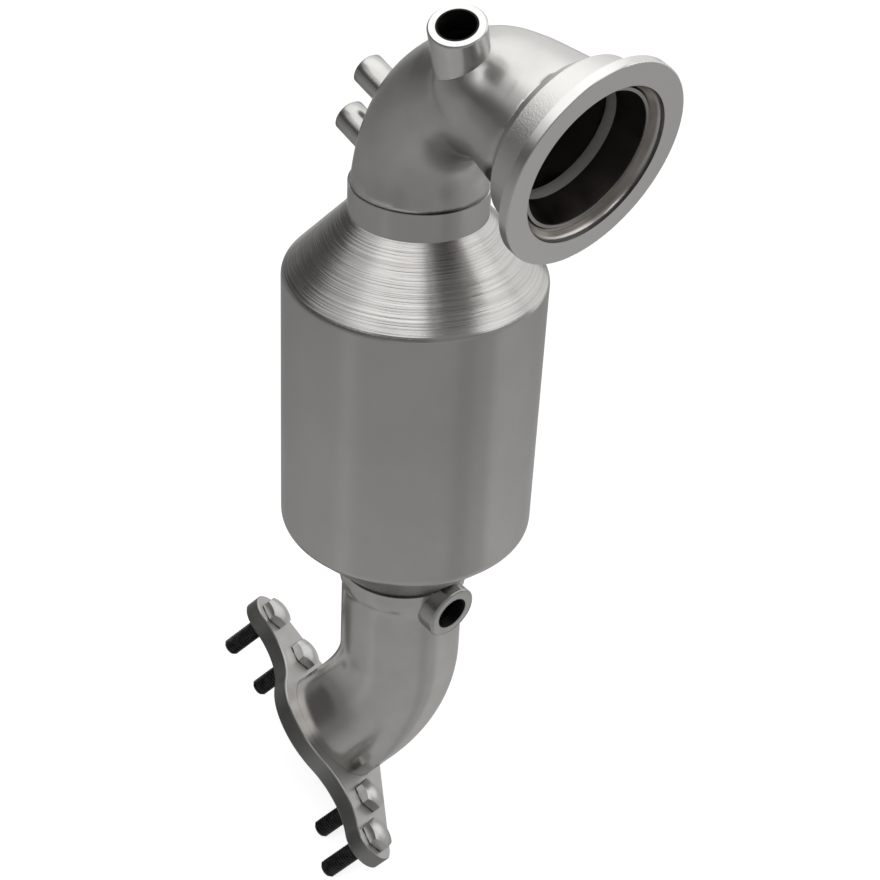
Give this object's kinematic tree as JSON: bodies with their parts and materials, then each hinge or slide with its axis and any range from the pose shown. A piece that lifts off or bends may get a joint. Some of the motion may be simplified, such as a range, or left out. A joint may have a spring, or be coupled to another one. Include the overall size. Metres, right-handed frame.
{
  "type": "catalytic converter",
  "caption": "Exhaust catalytic converter: a steel can with coned ends, a cast elbow with a clamped inlet flange above it, and a bent outlet pipe with an eared bolt flange below.",
  "frame": {"origin": "centre of the inlet flange's face, on the inlet's axis", "axes": "+Z along the can's axis, towards the inlet end; +X the level heading of the inlet, which droops a little below it; +Y to complete a right-handed frame"},
  "size_m": [0.2188, 0.1425, 0.4805],
  "materials": {
    "can_steel": "satin spun stainless sheet with fine turning lines on the cones",
    "pipe_steel": "satin drawn stainless tube",
    "cast_steel": "blasted cast stainless, fine grain",
    "turned_steel": "bright turned stainless",
    "plate_steel": "ground steel plate, dull cut edges",
    "bolt_steel": "bright plated heads, dark oiled thread",
    "liner_steel": "thin stainless sleeve, lightly stained",
    "ceramic": "matte washcoated ceramic",
    "mat_fibre": "pressed ceramic fibre",
    "seal_mesh": "pressed wire mesh"
  },
  "bodies": {
    "root": {"can_shell": "can_steel", "front_brick": "ceramic", "rear_brick": "ceramic", "front_mat": "mat_fibre", "rear_mat": "mat_fibre", "front_mat_seal": "seal_mesh", "rear_mat_seal": "seal_mesh", "inlet_elbow": "cast_steel", "inlet_flange": "cast_steel", "inlet_liner": "liner_steel", "upstream_sensor_boss": "turned_steel", "downstream_sensor_boss": "turned_steel", "shield_boss_upper": "turned_steel", "shield_boss_lower": "turned_steel", "outlet_pipe": "pipe_steel", "outlet_flange": "plate_steel", "flange_bolt_upper_outer": "bolt_steel", "flange_bolt_upper_inner": "bolt_steel", "flange_bolt_lower_inner": "bolt_steel", "flange_bolt_lower_outer": "bolt_steel"}
  },
  "joints": []
}
